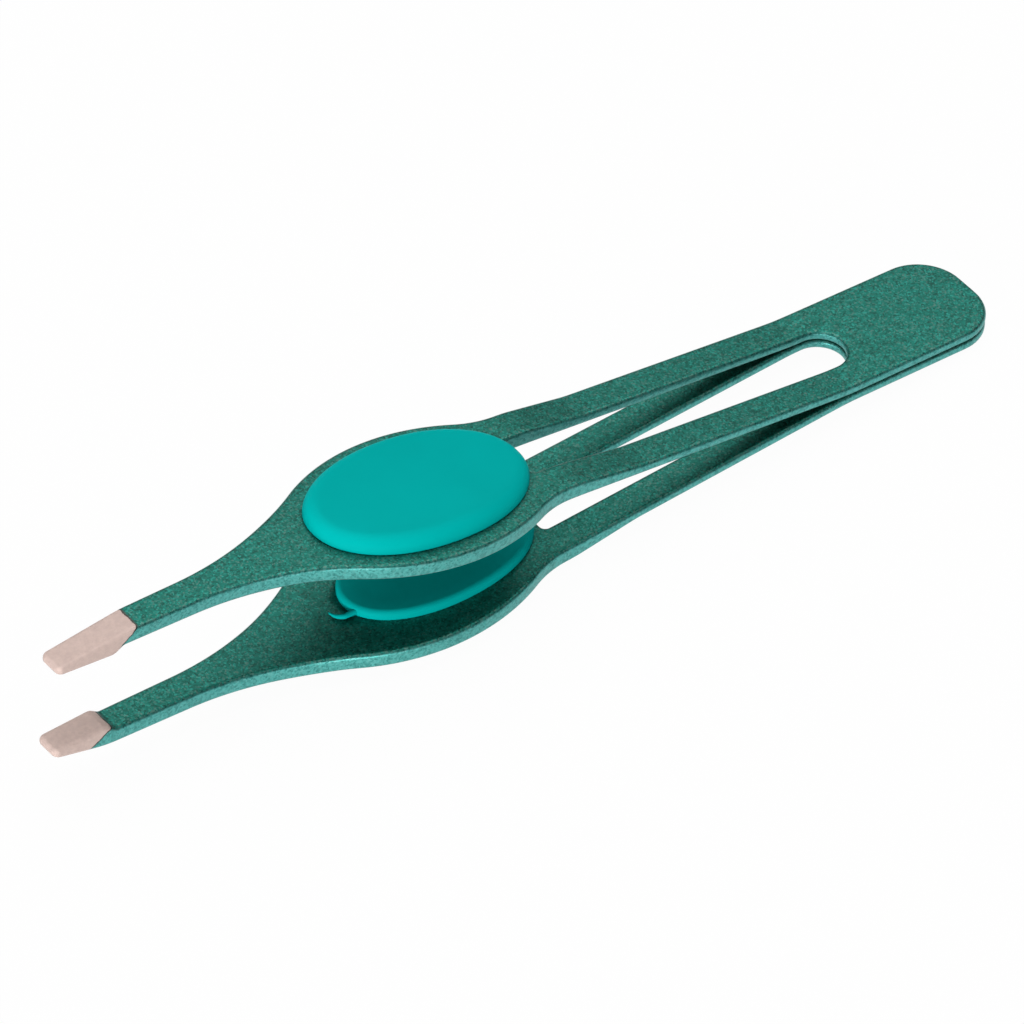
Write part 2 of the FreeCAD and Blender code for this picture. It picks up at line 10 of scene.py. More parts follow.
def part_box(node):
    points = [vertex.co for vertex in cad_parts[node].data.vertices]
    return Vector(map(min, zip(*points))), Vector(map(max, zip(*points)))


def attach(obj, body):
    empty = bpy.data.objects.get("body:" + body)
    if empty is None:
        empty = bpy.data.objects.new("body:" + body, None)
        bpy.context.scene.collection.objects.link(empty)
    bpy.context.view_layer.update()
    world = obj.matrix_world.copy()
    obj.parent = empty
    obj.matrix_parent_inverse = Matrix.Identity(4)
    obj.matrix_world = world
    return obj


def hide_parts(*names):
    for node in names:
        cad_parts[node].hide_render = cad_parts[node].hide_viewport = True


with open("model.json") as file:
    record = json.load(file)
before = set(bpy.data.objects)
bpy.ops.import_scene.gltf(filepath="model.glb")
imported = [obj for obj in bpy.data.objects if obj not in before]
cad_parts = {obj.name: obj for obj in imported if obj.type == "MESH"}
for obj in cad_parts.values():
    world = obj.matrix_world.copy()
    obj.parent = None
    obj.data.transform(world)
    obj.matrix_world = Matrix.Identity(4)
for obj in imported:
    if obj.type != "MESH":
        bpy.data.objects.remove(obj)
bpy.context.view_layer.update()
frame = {"nodes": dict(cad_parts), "record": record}
print("frame loaded:", ", ".join(sorted(frame["nodes"])))

# Tweezers lying on the lower grip: two stampings joined at the head, each with a soft grip.
# An arm is worked out level: the head end at x = 0, tips towards +x, the weld face at z = 0.
# All lengths in the dictionaries are millimetres, angles are degrees.
mm = 0.001

stamping = {
    "length": 96, "headWidth": 10.5, "headCorner": 4.2, "legWidth": 11, "legEndX": 44,
    "legThick": 0.9, "ovalThick": 1.5, "rampLength": 6.5, "rampRadius": 15,
    "bendX": 17, "bendRadius": 25, "legAngle": 5.2, "ovalAngle": 3.9, "flatX": (46.7, 70.1),
    "ovalX": 58.4, "ovalRadius": 19.2, "ovalWidth": 16.2, "neckRadius": 9, "waistRadius": 30,
    "shoulderRadius": 60, "shankX": 84, "shankWidth": 3, "tipWidth": 2.6, "tipCorner": 0.6,
    "tipThick": 0.8, "bevelLength": {"upper": 7.8, "lower": 5.2}, "bevelRadius": 12,
    "jawLength": {"upper": 6.5, "lower": 6.1}, "jawRun": 0.9, "jawRise": 0.6, "jawRadius": 0.8,
    "slotStartX": 13.7, "slotWidth": 4.6, "slotCorner": 0.5, "slotEndX": {"upper": 48.4, "lower": 46.8},
    "holeX": 58.4, "holeLength": 14.4, "holeWidth": 7.6,
    "edgeBevel": 0.2,        # as the solid has it, where the frame's corner is read
    "edgeRound": 0.36, "edgeSteps": 6, "edgeBorder": 0.05,
    "pointStep": 0.4, "jawFrom": 86.5, "jawStep": 0.14, "turnStep": 6, "gridStep": 0.8, "arcPoints": 28,
    "gridClear": 0.7,        # how far grid points keep from a border, as a share of the step
    "spare": 2,              # how far the side view runs past head and tip
    "bareFrom": {"upper": (88.2, 90.2), "lower": (92.8, 90.3)},        # the coat's end, outside and inside
}

grip = {
    "capLength": 21.2, "capWidth": 13.1, "capLip": 0.18, "crownRadius": 200,
    "capHeight": {"upper": 1.6, "lower": 1.25}, "capRound": {"upper": 1.3, "lower": 1.1},
    "capShift": {"upper": 0.6, "lower": 0},
    "neckLength": 14.3, "neckWidth": 7.5, "ovalPower": 2.1,
    "flangeLength": 18.8, "flangeWidth": 10.6, "flangeHeight": 0.9, "flangeRound": 0.5, "flangeLip": 0.12,
    "flangeShift": {"upper": 0, "lower": -2},
    "around": 180, "arcPoints": 9,
}

# The whisker that the mould left on the lower grip: middle line from the flange and thickness along it
tail = {
    "line": ((6.6, -1.2, -0.34), (7.6, -1.14, -0.34), (8.2, -1.06, -0.32),
             (8.7, -0.6, -0.28), (8.92, 0.1, -0.26)),
    "thick": (0.6, 0.52, 0.46, 0.34, 0.12), "steps": 18, "around": 12,
}


def tanDeg(angle):
    return math.tan(math.radians(angle))


# Corners of an arm's side view, each (x, z, rounding)
def sideCorners(s, side):
    spare = s["spare"]
    rampSlope = (s["ovalThick"] - s["legThick"]) / s["rampLength"]
    rampTurn = math.degrees(math.atan(rampSlope)) + s["legAngle"] - s["ovalAngle"]
    ovalStartX = s["flatX"][0] - s["rampRadius"] * tanDeg(rampTurn / 2)
    ovalStartZ = (ovalStartX - s["bendX"]) * tanDeg(s["legAngle"])
    waistX = s["flatX"][1] + s["shoulderRadius"] * tanDeg(s["ovalAngle"] / 2)
    waistZ = ovalStartZ + (waistX - ovalStartX) * tanDeg(s["ovalAngle"])
    jawStartX = s["length"] - s["jawLength"][side]
    footX = jawStartX + s["jawRun"]
    footZ = waistZ - s["jawRise"]
    close = footZ / (footX - s["bendX"])
    tipZ = footZ + (s["length"] - footX) * close
    topZ = waistZ + s["ovalThick"]
    bevelLength = s["bevelLength"][side]
    bevelSlope = (topZ - tipZ - s["tipThick"]) / bevelLength
    rampStartX = ovalStartX - s["rampLength"]
    legRise = s["legThick"] / math.cos(math.radians(s["legAngle"]))
    inner = [
        (-spare, 0, 0),
        (s["bendX"], 0, s["bendRadius"]),
        (ovalStartX, ovalStartZ, s["shoulderRadius"]),
        (waistX, waistZ, s["shoulderRadius"]),
        (jawStartX, waistZ, s["jawRadius"]),
        (footX, footZ, s["jawRadius"]),
        (s["length"] + spare, tipZ + spare * close, 0),
    ]
    outer = [
        (-spare, s["legThick"], 0),
        (s["bendX"] - s["legThick"] * tanDeg(s["legAngle"] / 2), s["legThick"], s["bendRadius"]),
        (rampStartX, (rampStartX - s["bendX"]) * tanDeg(s["legAngle"]) + legRise, s["rampRadius"]),
        (ovalStartX, ovalStartZ + s["ovalThick"] / math.cos(math.radians(s["ovalAngle"])), s["rampRadius"]),
        (waistX - s["ovalThick"] * tanDeg(s["ovalAngle"] / 2), topZ, s["shoulderRadius"]),
        (s["length"] - bevelLength, topZ, s["bevelRadius"]),
        (s["length"] + spare, tipZ + s["tipThick"] - spare * bevelSlope, 0),
    ]
    gripZ = ovalStartZ + (s["holeX"] - ovalStartX) * tanDeg(s["ovalAngle"])
    return inner, outer, gripZ


corners = {side: sideCorners(stamping, side) for side in ("upper", "lower")}
gripZ = corners["upper"][2]


# The tilt at which head and crowned grip both touch the floor is that of the head's lower face
headRest = next(mount for mount in frame["record"]["mounts"] if mount["name"] == "head_rest")
restAngle = math.atan2(-headRest["axis"][0], -headRest["axis"][2])
headLow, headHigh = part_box("upper_arm")
headWall = stamping["legThick"] - stamping["edgeBevel"]
seat = Vector((headHigh[0] - headWall * mm * math.sin(restAngle), 0,
               headLow[2] - stamping["edgeBevel"] * mm * math.sin(restAngle)))
lieDown = (Matrix.Translation(seat) @ Matrix.Rotation(math.pi, 4, "Z")
           @ Matrix.Rotation(-restAngle, 4, "Y"))
turnOver = {"upper": Matrix.Identity(4), "lower": Matrix.Rotation(math.pi, 4, "X")}
inHole = (Matrix.Translation((stamping["holeX"] * mm, 0, gripZ * mm))
          @ Matrix.Rotation(-math.radians(stamping["ovalAngle"]), 4, "Y"))
print(f"tilt {math.degrees(restAngle):.3f} degrees, head end at {seat.x / mm:.3f}, {seat.z / mm:.3f} mm")


# A node of a tree, its plain inputs set by name
def addNode(tree, kind, settings=None, **inputs):
    node = tree.nodes.new(kind)
    for key, value in (settings or {}).items():
        setattr(node, key, value)
    for key, value in inputs.items():
        socket = node.inputs[int(key[1:])] if key[0] == "n" and key[1:].isdigit() else node.inputs[key]
        if isinstance(value, bpy.types.NodeSocket):
            tree.links.new(value, socket)
        else:
            socket.default_value = value
    return node


def calc(tree, operation, a, b=0.0, c=0.0, clamp=False):
    kind = "ShaderNodeMath"
    return addNode(tree, kind, {"operation": operation, "use_clamp": clamp}, n0=a, n1=b, n2=c).outputs[0]


def newTree(name, sockets):
    tree = bpy.data.node_groups.new(name, "GeometryNodeTree")
    tree.interface.new_socket("Geometry", in_out="INPUT", socket_type="NodeSocketGeometry")
    for label, kind in sockets:
        tree.interface.new_socket(label, in_out="INPUT", socket_type="NodeSocket" + kind)
    tree.interface.new_socket("Geometry", in_out="OUTPUT", socket_type="NodeSocketGeometry")
    return tree, tree.nodes.new("NodeGroupInput"), tree.nodes.new("NodeGroupOutput")


# Runs the tree on an object with the named inputs and gives the result as a plain mesh
def runTree(obj, tree, values):
    modifier = obj.modifiers.new("shape", "NODES")
    modifier.node_group = tree
    for item in tree.interface.items_tree:
        if item.in_out == "INPUT" and item.name in values:
            modifier[item.identifier] = values[item.name]
    evaluated = obj.evaluated_get(bpy.context.evaluated_depsgraph_get())
    mesh = bpy.data.meshes.new_from_object(evaluated)
    obj.modifiers.remove(modifier)
    return mesh


# A straight-edged curve whose points carry the rounding of their corners, and a shift as their tilt
def cornerCurve(name, points):
    curve = bpy.data.curves.new(name, "CURVE")
    curve.dimensions = "3D"
    spline = curve.splines.new("POLY")
    spline.points.add(len(points) - 1)
    for item, (place, rounding, *shift) in zip(spline.points, points):
        item.co = (*(Vector(place) * mm), 1)
        item.radius = rounding * mm
        item.tilt = sum(shift) * mm
    obj = bpy.data.objects.new(name, curve)
    bpy.context.scene.collection.objects.link(obj)
    return obj


# Outlines are lists of (point, direction out of the sheet) pairs, which on a hollow arc points inwards
def arcPoints(centre, radius, start, end, hollow=False, step=None):
    turn = math.radians(end - start)
    count = max(1, round(abs(math.degrees(turn)) / stamping["turnStep"]),
                round(abs(turn) * radius / (step or stamping["pointStep"])))
    points = []
    for i in range(count + 1):
        angle = math.radians(start) + turn * i / count
        out = Vector((math.cos(angle), math.sin(angle)))
        points.append((centre + out * radius, -out if hollow else out))
    return points


def linePoints(start, end, step=None):
    along = end - start
    count = max(1, round(along.length / (step or stamping["pointStep"])))
    out = Vector((-along.y, along.x)).normalized()
    return [(start + along * i / count, out) for i in range(count + 1)]


def angleOf(vector):
    return math.degrees(math.atan2(vector.y, vector.x))


# Centre of a circle that touches a line on its upper side and a round one from outside
def hollowCentre(foot, along, radius, ovalCentre, ovalRadius, ahead):
    out = Vector((-along.y, along.x))
    shifted = foot + out * radius
    near = shifted + along * (ovalCentre - shifted).dot(along)
    reach = math.sqrt((ovalRadius + radius) ** 2 - (near - ovalCentre).length_squared)
    return near + along * (reach if ahead else -reach)


# The blank's outline from the middle of the head end to the middle of the tip, on the side y > 0
def halfOutline(s):
    def tangent(centre, foot, along):
        return foot + along * (centre - foot).dot(along)

    legFoot = Vector((0, s["headWidth"] / 2))
    leg = (Vector((s["legEndX"], s["legWidth"] / 2)) - legFoot).normalized()
    shankFoot = Vector((s["shankX"], s["shankWidth"] / 2))
    shank = (Vector((s["length"], s["tipWidth"] / 2)) - shankFoot).normalized()
    legOut, shankOut = Vector((-leg.y, leg.x)), Vector((-shank.y, shank.x))
    oval = Vector((s["ovalX"], s["ovalWidth"] / 2 - s["ovalRadius"]))
    neck = hollowCentre(legFoot, leg, s["neckRadius"], oval, s["ovalRadius"], False)
    waist = hollowCentre(shankFoot, shank, s["waistRadius"], oval, s["ovalRadius"], True)
    headRun = s["headCorner"] * (1 + legOut.x) / leg.x
    head = legFoot + leg * headRun - legOut * s["headCorner"]
    tipRun = (s["length"] - s["tipCorner"] * (1 - shankOut.x) - shankFoot.x) / shank.x
    tip = shankFoot + shank * tipRun - shankOut * s["tipCorner"]
    jawFrom = Vector((s["jawFrom"], 0))
    jawFrom.y = shankFoot.y + (jawFrom.x - shankFoot.x) * shank.y / shank.x
    legAngle, shankAngle = angleOf(legOut), angleOf(shankOut)
    neckEnd, waistEnd = angleOf(oval - neck), angleOf(oval - waist)
    fine = s["jawStep"]
    pieces = [
        linePoints(Vector((0, 0)), Vector((0, head.y))),
        arcPoints(head, s["headCorner"], 180, legAngle),
        linePoints(tangent(head, legFoot, leg), tangent(neck, legFoot, leg)),
        arcPoints(neck, s["neckRadius"], legAngle - 180, neckEnd, hollow=True),
        arcPoints(oval, s["ovalRadius"], neckEnd + 180, waistEnd + 180 if waistEnd < 0 else waistEnd - 180),
        arcPoints(waist, s["waistRadius"], waistEnd, shankAngle - 180, hollow=True),
        linePoints(tangent(waist, shankFoot, shank), jawFrom),
        linePoints(jawFrom, tangent(tip, shankFoot, shank), fine),
        arcPoints(tip, s["tipCorner"], shankAngle, 0, step=fine),
        linePoints(Vector((s["length"], tip.y)), Vector((s["length"], 0)), fine),
    ]
    return joinPieces(pieces)


# One run of points out of several, without the points that two pieces share
def joinPieces(pieces):
    path = []
    for piece in pieces:
        path += piece if not path else piece[1:]
    return path


def mirrored(path):
    return [(Vector((p.x, -p.y)), Vector((n.x, -n.y))) for p, n in path]


def outlineLoop(s):
    half = halfOutline(s)
    return half + list(reversed(mirrored(half)))[1:-1]


# The slot: a half round towards the head, small corners at the blunt end
def slotLoop(s, side):
    half, corner = s["slotWidth"] / 2, s["slotCorner"]
    end = s["slotEndX"][side]
    middle = Vector((s["slotStartX"] + half, 0))
    turn = Vector((end - corner, half - corner))
    upper = joinPieces([
        arcPoints(middle, half, 180, 90, hollow=True),
        [(p, -n) for p, n in linePoints(Vector((middle.x, half)), Vector((turn.x, half)))],
        arcPoints(turn, corner, 90, 0, hollow=True),
        [(p, -n) for p, n in linePoints(Vector((end, turn.y)), Vector((end, 0)))],
    ])
    return upper + list(reversed(mirrored(upper)))[1:-1]


def holeLoop(s):
    length, width = s["holeLength"] / 2, s["holeWidth"] / 2
    count = round(math.tau * (length + width) / 2 / s["pointStep"])
    power = 2 / grip["ovalPower"]
    loop = []
    for i in range(count):
        along, across = math.cos(math.tau * i / count), math.sin(math.tau * i / count)
        point = Vector((s["holeX"] + length * math.copysign(abs(along) ** power, along),
                        width * math.copysign(abs(across) ** power, across)))
        loop.append((point, Vector((-width * along, -length * across)).normalized()))
    return loop


# The flat blank, both skins drawn in one plane: each vertex knows its skin (0 inside, 1 outside)
# and how deep under that skin it lies, and the press gives it its height
def makeBlank(s, side):
    mesh = bmesh.new()
    skinLayer = mesh.verts.layers.float.new("skin")
    depthLayer = mesh.verts.layers.float.new("depth")
    edgeLayer = mesh.verts.layers.float.new("edge")

    def addVertex(x, y, skin, depth=0.0, edge=0.0):
        vertex = mesh.verts.new((x * mm, y * mm, 0))
        vertex[skinLayer], vertex[depthLayer], vertex[edgeLayer] = skin, depth * mm, edge
        return vertex

    rounding = s["edgeRound"]
    quarter = [math.pi / 2 * i / s["edgeSteps"] for i in range(s["edgeSteps"] + 1)]
    roundRows = [(rounding + s["edgeBorder"], 0, 0)]
    for a in quarter:
        roundRows.append((rounding * (1 - math.sin(a)), rounding * (1 - math.cos(a)), math.sin(2 * a)))
    rows = ([(inset, 0, depth, edge) for inset, depth, edge in roundRows]
            + [(inset, 1, depth, edge) for inset, depth, edge in reversed(roundRows)])
    sharpRows = [(0, 0, 0, 0), (0, 1, 0, 0)]
    borders = {0: [], 1: []}
    for loop, loopRows in ((outlineLoop(s), rows), (slotLoop(s, side), rows), (holeLoop(s), sharpRows)):
        rings = []
        for inset, skin, depth, edge in loopRows:
            ring = []
            for point, out in loop:
                place = point - out * inset
                ring.append(addVertex(place.x, place.y, skin, depth, edge))
            rings.append(ring)
        for ring, nextRing in zip(rings, rings[1:]):
            for i in range(len(loop)):
                j = (i + 1) % len(loop)
                mesh.faces.new((ring[i], ring[j], nextRing[j], nextRing[i]))
        borders[0].append(rings[0])
        borders[1].append(rings[-1])
    for skin in (0, 1):
        fillSkin(mesh, borders[skin], skin, s, addVertex)
    bmesh.ops.recalc_face_normals(mesh, faces=mesh.faces)
    data = bpy.data.meshes.new("blank")
    mesh.to_mesh(data)
    mesh.free()
    blank = bpy.data.objects.new("blank", data)
    bpy.context.scene.collection.objects.link(blank)
    return blank


# True for a point within a closed loop of points
def isInside(point, loop):
    crossings = 0
    for a, b in zip(loop, loop[1:] + loop[:1]):
        if (a.y > point.y) != (b.y > point.y):
            crossings += point.x < a.x + (point.y - a.y) * (b.x - a.x) / (b.y - a.y)
    return crossings % 2 == 1


# One skin of the sheet, triangles between its borders and a grid that is finer at the jaw
def fillSkin(mesh, borders, skin, s, addVertex):
    ring = [vertex for border in borders for vertex in border]
    tree = KDTree(len(ring))
    for i, vertex in enumerate(ring):
        tree.insert(vertex.co, i)
    tree.balance()
    edges = []
    start = 0
    for border in borders:
        edges += [(start + i, start + (i + 1) % len(border)) for i in range(len(border))]
        start += len(border)
    points = list(ring)
    x = s["gridStep"]
    while x < s["length"]:
        step = s["jawStep"] if x > s["jawFrom"] else s["gridStep"]
        across = s["gridStep"] / 2 if x > s["jawFrom"] else s["gridStep"]
        rows = math.floor(s["ovalWidth"] / 2 / across)
        for row in range(-rows, rows + 1):
            place = Vector((x, row * across, 0)) * mm
            if tree.find(place)[2] > s["gridClear"] * step * mm:
                points.append(addVertex(x, row * across, skin))
        x += step
    flat = [Vector((vertex.co.x / mm, vertex.co.y / mm)) for vertex in points]
    result = delaunay_2d_cdt(flat, edges, [], 1, 1e-7)
    holes = []
    start = len(borders[0])
    for border in borders[1:]:
        holes.append(flat[start:start + len(border)])
        start += len(border)
    used = set()
    for face in result[2]:
        triangle = [result[3][i][0] for i in face]
        middle = sum((flat[i] for i in triangle), Vector((0, 0))) / 3
        if not any(isInside(middle, hole) for hole in holes):
            mesh.faces.new([points[i] for i in triangle])
            used.update(triangle)
    for i in range(len(ring), len(points)):
        if i not in used:
            mesh.verts.remove(points[i])


# The press: raises every vertex of the blank to the rounded side profiles
def pressTree():
    tree, given, result = newTree("press", [
        ("Inner profile", "Object"), ("Outer profile", "Object"), ("Reach", "Float"),
        ("Arc points", "Int"), ("Bare outside", "Float"), ("Bare inside", "Float"), ("Finish", "Material")])
    position = addNode(tree, "GeometryNodeInputPosition").outputs[0]
    split = addNode(tree, "ShaderNodeSeparateXYZ", n0=position).outputs
    reach = given.outputs["Reach"]
    sideways = addNode(tree, "ShaderNodeCombineXYZ", Y=calc(tree, "MULTIPLY", reach, 2.0)).outputs[0]
    back = addNode(tree, "ShaderNodeCombineXYZ", Y=calc(tree, "MULTIPLY", reach, -1.0)).outputs[0]
    below = addNode(tree, "ShaderNodeCombineXYZ", X=split[0], Y=split[1],
                    Z=calc(tree, "MULTIPLY", reach, -1.0)).outputs[0]
    radius = addNode(tree, "GeometryNodeInputRadius").outputs[0]
    heights = []
    for label in ("Inner profile", "Outer profile"):
        profile = addNode(tree, "GeometryNodeObjectInfo", Object=given.outputs[label])
        rounded = addNode(tree, "GeometryNodeFilletCurve", {"mode": "POLY"}, Radius=radius,
                          Curve=profile.outputs["Geometry"], Count=given.outputs["Arc points"])
        line = addNode(tree, "GeometryNodeCurveToMesh", Curve=rounded.outputs[0])
        ribbon = addNode(tree, "GeometryNodeExtrudeMesh", {"mode": "EDGES"}, Mesh=line.outputs[0],
                         Offset=sideways)
        moved = addNode(tree, "GeometryNodeSetPosition", Geometry=ribbon.outputs[0], Offset=back)
        ray = tree.nodes.new("GeometryNodeRaycast")
        tree.links.new(moved.outputs[0], ray.inputs["Target Geometry"])
        tree.links.new(below, ray.inputs["Source Position"])
        ray.inputs["Ray Direction"].default_value = (0, 0, 1)
        hit = addNode(tree, "ShaderNodeSeparateXYZ", n0=ray.outputs["Hit Position"])
        heights.append(hit.outputs[2])
    floats = {"data_type": "FLOAT"}
    skin, depth = [addNode(tree, "GeometryNodeInputNamedAttribute", floats, Name=label).outputs[0]
                   for label in ("skin", "depth")]
    inside = calc(tree, "ADD", heights[0], depth)
    outside = calc(tree, "SUBTRACT", heights[1], depth)
    height = calc(tree, "MULTIPLY_ADD", calc(tree, "SUBTRACT", outside, inside), skin, inside)
    place = addNode(tree, "ShaderNodeCombineXYZ", X=split[0], Y=split[1], Z=height)
    pressed = addNode(tree, "GeometryNodeSetPosition", Geometry=given.outputs["Geometry"],
                      Position=place.outputs[0])
    # Distance past the end of the coat, which slants through the sheet
    share = calc(tree, "DIVIDE", calc(tree, "SUBTRACT", height, heights[0]),
                 calc(tree, "SUBTRACT", heights[1], heights[0]))
    bareSpan = calc(tree, "SUBTRACT", given.outputs["Bare outside"], given.outputs["Bare inside"])
    bareFrom = calc(tree, "MULTIPLY_ADD", bareSpan, share, given.outputs["Bare inside"])
    bare = addNode(tree, "GeometryNodeStoreNamedAttribute", {"data_type": "FLOAT", "domain": "POINT"},
                   Geometry=pressed.outputs[0], Name="bare", Value=calc(tree, "SUBTRACT", split[0], bareFrom))
    smooth = addNode(tree, "GeometryNodeSetShadeSmooth", Geometry=bare.outputs[0])
    real = addNode(tree, "GeometryNodeRealizeInstances", Geometry=smooth.outputs[0])
    finished = addNode(tree, "GeometryNodeSetMaterial", Geometry=real.outputs[0],
                       Material=given.outputs["Finish"])
    tree.links.new(finished.outputs[0], result.inputs[0])
    return tree


# The section of a grip from the middle of its cap to the middle of its flange: each corner is
# (half width, what half the length is more, height), a rounding and a shift towards the tips
def gripSection(s, sheet, side):
    capExtra = (s["capLength"] - s["capWidth"]) / 2
    neckExtra = (s["neckLength"] - s["neckWidth"]) / 2
    flangeExtra = (s["flangeLength"] - s["flangeWidth"]) / 2
    top = sheet + s["capHeight"][side]
    cap, flange = s["capShift"][side], s["flangeShift"][side]
    points = [((s["capWidth"] / 2 * share, capExtra, top), 0, cap) for share in (0, 0.2, 0.4, 0.6, 0.75)]
    points += [
        ((s["capWidth"] / 2, capExtra, top), s["capRound"][side], cap),
        ((s["capWidth"] / 2, capExtra, sheet), s["capLip"], cap),
        ((s["neckWidth"] / 2, neckExtra, sheet), 0, 0),
        ((s["neckWidth"] / 2, neckExtra, 0), 0, 0),
        ((s["flangeWidth"] / 2, flangeExtra, 0), s["flangeLip"], flange),
        ((s["flangeWidth"] / 2, flangeExtra, -s["flangeHeight"]), s["flangeRound"], flange),
    ]
    points += [((s["flangeWidth"] / 2 * share, flangeExtra, -s["flangeHeight"]), 0, flange)
               for share in (0.7, 0.35, 0)]
    return points


# The mould: carries the section round an oval and crowns the cap along its length
def mouldTree():
    tree, given, result = newTree("mould", [
        ("Section", "Object"), ("Arc points", "Int"), ("Around", "Int"), ("Crown radius", "Float"),
        ("Oval power", "Float"), ("Seat", "Float"), ("Cap height", "Float"), ("Finish", "Material")])
    profile = addNode(tree, "GeometryNodeObjectInfo", Object=given.outputs["Section"])
    radius = addNode(tree, "GeometryNodeInputRadius").outputs[0]
    rounded = addNode(tree, "GeometryNodeFilletCurve", {"mode": "POLY"}, Radius=radius,
                      Curve=profile.outputs["Geometry"], Count=given.outputs["Arc points"])
    position = addNode(tree, "GeometryNodeInputPosition").outputs[0]
    circle = addNode(tree, "GeometryNodeCurvePrimitiveCircle", Resolution=given.outputs["Around"], Radius=1.0)
    tilt = addNode(tree, "GeometryNodeInputCurveTilt").outputs[0]
    kept = []
    for curve, label in ((circle, "way"), (rounded, "section")):
        keep = tree.nodes.new("GeometryNodeCaptureAttribute")
        keep.capture_items.new("VECTOR", label)
        keep.capture_items.new("FLOAT", label + "Shift")
        tree.links.new(curve.outputs[0], keep.inputs["Geometry"])
        tree.links.new(position, keep.inputs[label])
        tree.links.new(tilt, keep.inputs[label + "Shift"])
        kept.append(keep)
    swept = addNode(tree, "GeometryNodeCurveToMesh", Curve=kept[0].outputs["Geometry"])
    tree.links.new(kept[1].outputs["Geometry"], swept.inputs["Profile Curve"])
    way = addNode(tree, "ShaderNodeSeparateXYZ", n0=kept[0].outputs["way"]).outputs
    section = addNode(tree, "ShaderNodeSeparateXYZ", n0=kept[1].outputs["section"]).outputs
    power = calc(tree, "DIVIDE", 2.0, given.outputs["Oval power"])
    cosine, sine = [calc(tree, "MULTIPLY", calc(tree, "SIGN", part),
                         calc(tree, "POWER", calc(tree, "ABSOLUTE", part), power)) for part in way[:2]]
    x = calc(tree, "MULTIPLY", cosine, calc(tree, "ADD", section[0], section[1]))
    y = calc(tree, "MULTIPLY", sine, section[0])
    drop = calc(tree, "DIVIDE", calc(tree, "MULTIPLY", x, x),
                calc(tree, "MULTIPLY", given.outputs["Crown radius"], 2.0))
    above = calc(tree, "SUBTRACT", section[2], given.outputs["Seat"])
    share = calc(tree, "DIVIDE", above, given.outputs["Cap height"], clamp=True)
    z = calc(tree, "SUBTRACT", section[2], calc(tree, "MULTIPLY", drop, share))
    shifted = calc(tree, "ADD", x, kept[1].outputs["sectionShift"])
    place = addNode(tree, "ShaderNodeCombineXYZ", X=shifted, Y=y, Z=z)
    moved = addNode(tree, "GeometryNodeSetPosition", Geometry=swept.outputs[0], Position=place.outputs[0])
    closed = addNode(tree, "GeometryNodeMergeByDistance", Geometry=moved.outputs[0], Distance=0.002 * mm)
    smooth = addNode(tree, "GeometryNodeSetShadeSmooth", Geometry=closed.outputs[0])
    real = addNode(tree, "GeometryNodeRealizeInstances", Geometry=smooth.outputs[0])
    finished = addNode(tree, "GeometryNodeSetMaterial", Geometry=real.outputs[0],
                       Material=given.outputs["Finish"])
    tree.links.new(finished.outputs[0], result.inputs[0])
    return tree


coat = {
    "teal": (0.003, 0.143, 0.108, 1), "bright": (0.018, 0.235, 0.19, 1), "dark": (0.0, 0.058, 0.043, 1),
    "fleck": (0.06, 0.165, 0.135, 1), "end": (0.05, 0.045, 0.04, 1),
    # Painted light: paler colours painted on the cut walls for the light that falls on them
    "wall": (0.19, 0.7, 0.68, 1), "wallDeep": (0.08, 0.44, 0.42, 1), "wallShare": 0.45,
    "grain": 6400, "metallic": 0.8, "roughness": 0.44, "clear": 0.08, "clearRough": 0.45,
    "line": 0.22,        # width of the dark line where the coat ends, in mm
}
steel = {
    "light": (0.56, 0.435, 0.39, 1), "shade": (0.51, 0.395, 0.357, 1), "metallic": 0.3, "roughness": 0.75,
}
silicone = {
    "colour": (0.0, 0.37, 0.355, 1), "deep": (0.0, 0.35, 0.335, 1), "roughness": 0.55, "specular": 0.01,
    "cloudScale": 90, "skinScale": 2600,
}


def newMaterial(name):
    material = bpy.data.materials.new(name)
    material.use_nodes = True
    tree = material.node_tree
    return material, tree, tree.nodes["Principled BSDF"]


def blend(tree, factor, a, b):
    mixed = addNode(tree, "ShaderNodeMix", {"data_type": "RGBA"})
    for socket, value in ((mixed.inputs[0], factor), (mixed.inputs[6], a), (mixed.inputs[7], b)):
        if isinstance(value, bpy.types.NodeSocket):
            tree.links.new(value, socket)
        else:
            socket.default_value = value
    return mixed.outputs[2]


def ramp(tree, value, low, high):
    node = addNode(tree, "ShaderNodeMapRange", {"clamp": True})
    tree.links.new(value, node.inputs["Value"])
    node.inputs["From Min"].default_value = low
    node.inputs["From Max"].default_value = high
    return node.outputs[0]


def noise(tree, scale, detail=2.0, rough=0.5):
    place = addNode(tree, "ShaderNodeTexCoord").outputs["Object"]
    return addNode(tree, "ShaderNodeTexNoise", Vector=place, Scale=float(scale), Detail=detail,
                   Roughness=rough).outputs["Fac"]
